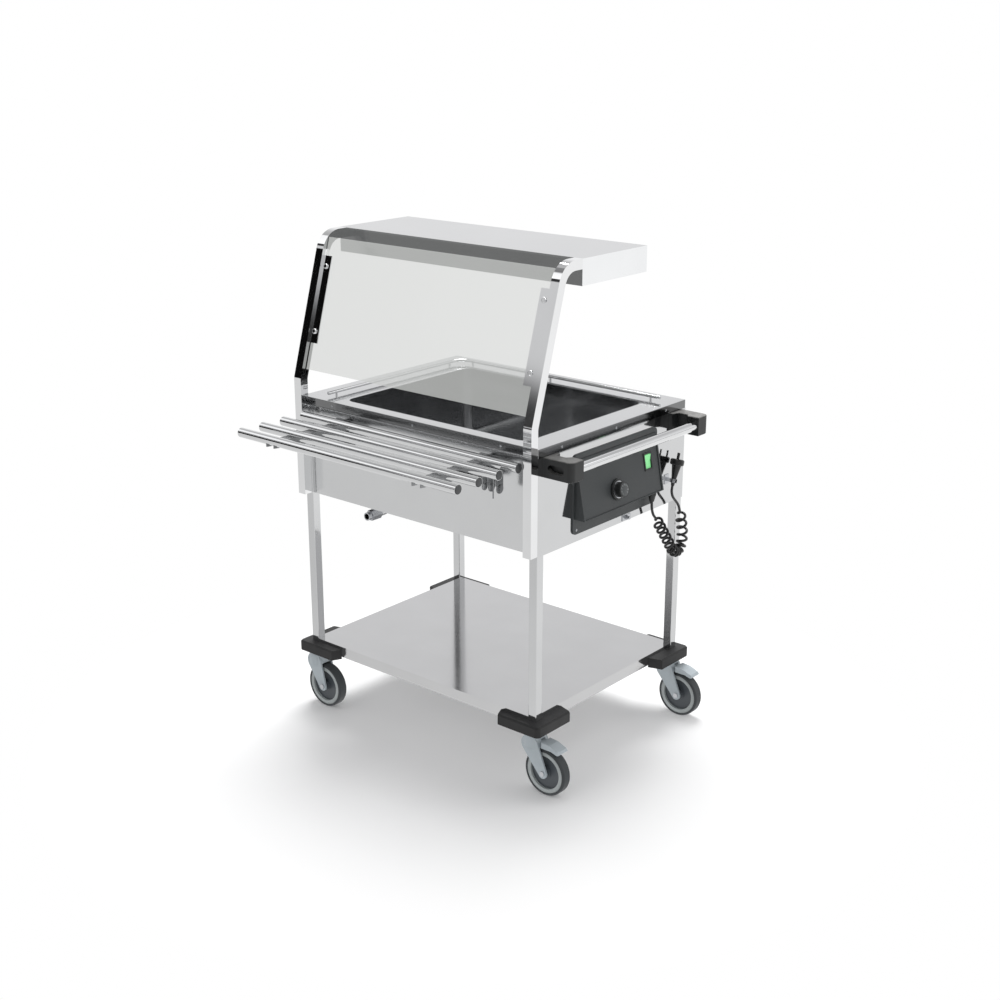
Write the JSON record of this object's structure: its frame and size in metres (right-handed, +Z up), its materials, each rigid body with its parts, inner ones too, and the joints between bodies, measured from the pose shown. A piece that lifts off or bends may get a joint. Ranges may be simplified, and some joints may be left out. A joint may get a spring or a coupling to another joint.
{
  "type": "steam table trolley",
  "caption": "Wheeled heated food counter with a wet well, leaning glass guard and overshelf, fold-down tray slide, push handle, lower shelf and curly mains lead.",
  "frame": {"origin": "on the floor, under the middle of the whole trolley's box without its mains lead", "axes": "+X towards the push handle and controls, +Y from the tray slide (customer side) to the serving side, +Z up"},
  "size_m": [0.9266, 0.903, 1.33],
  "materials": {
    "satin_steel": "satin stainless tube and folded sheet",
    "panel_steel": "fine-brushed stainless sheet",
    "bright_steel": "polished stainless",
    "heater_steel": "dull sheathed heating element",
    "plated_metal": "zinc-plated",
    "clear_glass": "clear toughened glass",
    "black_rubber": "matt moulded bumper",
    "black_plastic": "fine-grained black moulding",
    "grey_plastic": "dark grey moulding",
    "knob_plastic": "dark grey with a lighter dial",
    "green_plastic": "translucent green, lit from inside",
    "white_plastic": "plain moulding",
    "lead_rubber": "satin black sheath",
    "caster_plastic": "blue-grey moulding",
    "wheel_plastic": "dark grey wheel centre",
    "wheel_tyre": "soft dark grey tread"
  },
  "bodies": {
    "trolley": {"back_panel": "panel_steel", "bonding_lug": "plated_metal", "bottom_cover": "panel_steel", "bottom_shelf": "panel_steel", "cable_gland": "black_plastic", "caster_stems": "plated_metal", "control_back_plate": "grey_plastic", "control_housing": "grey_plastic", "corner_bumpers": "black_rubber", "drain_pipe": "bright_steel", "drain_valve": "plated_metal", "end_panel_left": "panel_steel", "end_panel_right": "panel_steel", "front_panel": "panel_steel", "gallery_rail": "bright_steel", "glass_flanges": "bright_steel", "glass_pane": "clear_glass", "glass_screws": "bright_steel", "handle_brackets": "black_plastic", "handle_tube": "bright_steel", "hood_posts": "bright_steel", "hood_shelf": "panel_steel", "legs": "satin_steel", "mains_lead_coil": "lead_rubber", "mains_lead_lower": "lead_rubber", "mains_lead_upper": "lead_rubber", "mains_plug": "lead_rubber", "plug_clip": "plated_metal", "switch_frame": "black_plastic", "terminal_block": "white_plastic", "thermostat_body": "grey_plastic", "top_plate": "panel_steel", "tray_brackets": "satin_steel", "well_basin": "panel_steel", "well_heater": "heater_steel"},
    "tray": {"tray_arms": "satin_steel", "tray_tubes": "bright_steel"},
    "lock_pin_left": {"tray_lock_pin_left": "bright_steel"},
    "lock_pin_right": {"tray_lock_pin_right": "bright_steel"},
    "rocker": {"switch_rocker": "green_plastic"},
    "knob": {"thermostat_knob": "knob_plastic"},
    "drain_lever": {"valve_lever": "black_plastic"},
    "swivel_front_left": {"caster_fork_front_left": "caster_plastic", "caster_axle_front_left": "plated_metal"},
    "wheel_front_left": {"caster_hub_front_left": "wheel_plastic", "caster_tyre_front_left": "wheel_tyre"},
    "swivel_front_right": {"caster_fork_front_right": "caster_plastic", "caster_axle_front_right": "plated_metal"},
    "wheel_front_right": {"caster_hub_front_right": "wheel_plastic", "caster_tyre_front_right": "wheel_tyre"},
    "pedal_front_right": {"brake_pedal_front_right": "caster_plastic"},
    "swivel_back_left": {"caster_fork_back_left": "caster_plastic", "caster_axle_back_left": "plated_metal"},
    "wheel_back_left": {"caster_hub_back_left": "wheel_plastic", "caster_tyre_back_left": "wheel_tyre"},
    "swivel_back_right": {"caster_fork_back_right": "caster_plastic", "caster_axle_back_right": "plated_metal"},
    "wheel_back_right": {"caster_hub_back_right": "wheel_plastic", "caster_tyre_back_right": "wheel_tyre"},
    "pedal_back_right": {"brake_pedal_back_right": "caster_plastic"}
  },
  "joints": [
    {"name": "tray_fold", "type": "hinge", "parent": "trolley", "child": "tray", "pos_m": [-0.03225, -0.2075, 0.813], "axis": [1, 0, 0], "range_deg": [0, 90]},
    {"name": "lock_pin_left_pull", "type": "slide", "parent": "trolley", "child": "lock_pin_left", "axis": [-1, 0, 0], "range_m": [0, 0.008], "stiffness_N_per_m": 300},
    {"name": "lock_pin_right_pull", "type": "slide", "parent": "trolley", "child": "lock_pin_right", "axis": [1, 0, 0], "range_m": [0, 0.008], "stiffness_N_per_m": 300},
    {"name": "rocker_tilt", "type": "hinge", "parent": "trolley", "child": "rocker", "pos_m": [0.38088, 0.2355, 0.77549], "axis": [0, 1, 0], "range_deg": [-14, 0]},
    {"name": "thermostat_turn", "type": "hinge", "parent": "trolley", "child": "knob", "pos_m": [0.39642, 0.0935, 0.737], "axis": [0.9821, 0, 0.1886], "range_deg": [-270, 0]},
    {"name": "drain_lever_turn", "type": "hinge", "parent": "trolley", "child": "drain_lever", "pos_m": [-0.22025, -0.1495, 0.6], "axis": [0, 0, 1], "range_deg": [0, 90]},
    {"name": "caster_swivel_front_left", "type": "hinge", "parent": "trolley", "child": "swivel_front_left", "pos_m": [-0.42325, -0.1815, 0.15], "axis": [0, 0, 1], "continuous": true},
    {"name": "wheel_roll_front_left", "type": "hinge", "parent": "swivel_front_left", "child": "wheel_front_left", "pos_m": [-0.39325, -0.1815, 0.0625], "axis": [0, 1, 0], "continuous": true},
    {"name": "caster_swivel_front_right", "type": "hinge", "parent": "trolley", "child": "swivel_front_right", "pos_m": [0.35875, -0.1815, 0.15], "axis": [0, 0, 1], "continuous": true},
    {"name": "wheel_roll_front_right", "type": "hinge", "parent": "swivel_front_right", "child": "wheel_front_right", "pos_m": [0.40075, -0.1815, 0.0625], "axis": [0, 1, 0], "continuous": true},
    {"name": "brake_front_right", "type": "hinge", "parent": "swivel_front_right", "child": "pedal_front_right", "pos_m": [0.38075, -0.1815, 0.138], "axis": [0, 1, 0], "range_deg": [0, 8]},
    {"name": "caster_swivel_back_left", "type": "hinge", "parent": "trolley", "child": "swivel_back_left", "pos_m": [-0.42325, 0.4125, 0.15], "axis": [0, 0, 1], "continuous": true},
    {"name": "wheel_roll_back_left", "type": "hinge", "parent": "swivel_back_left", "child": "wheel_back_left", "pos_m": [-0.39325, 0.4125, 0.0625], "axis": [0, 1, 0], "continuous": true},
    {"name": "caster_swivel_back_right", "type": "hinge", "parent": "trolley", "child": "swivel_back_right", "pos_m": [0.35875, 0.4125, 0.15], "axis": [0, 0, 1], "continuous": true},
    {"name": "wheel_roll_back_right", "type": "hinge", "parent": "swivel_back_right", "child": "wheel_back_right", "pos_m": [0.40075, 0.4125, 0.0625], "axis": [0, 1, 0], "continuous": true},
    {"name": "brake_back_right", "type": "hinge", "parent": "swivel_back_right", "child": "pedal_back_right", "pos_m": [0.38075, 0.4125, 0.138], "axis": [0, 1, 0], "range_deg": [0, 8]}
  ]
}
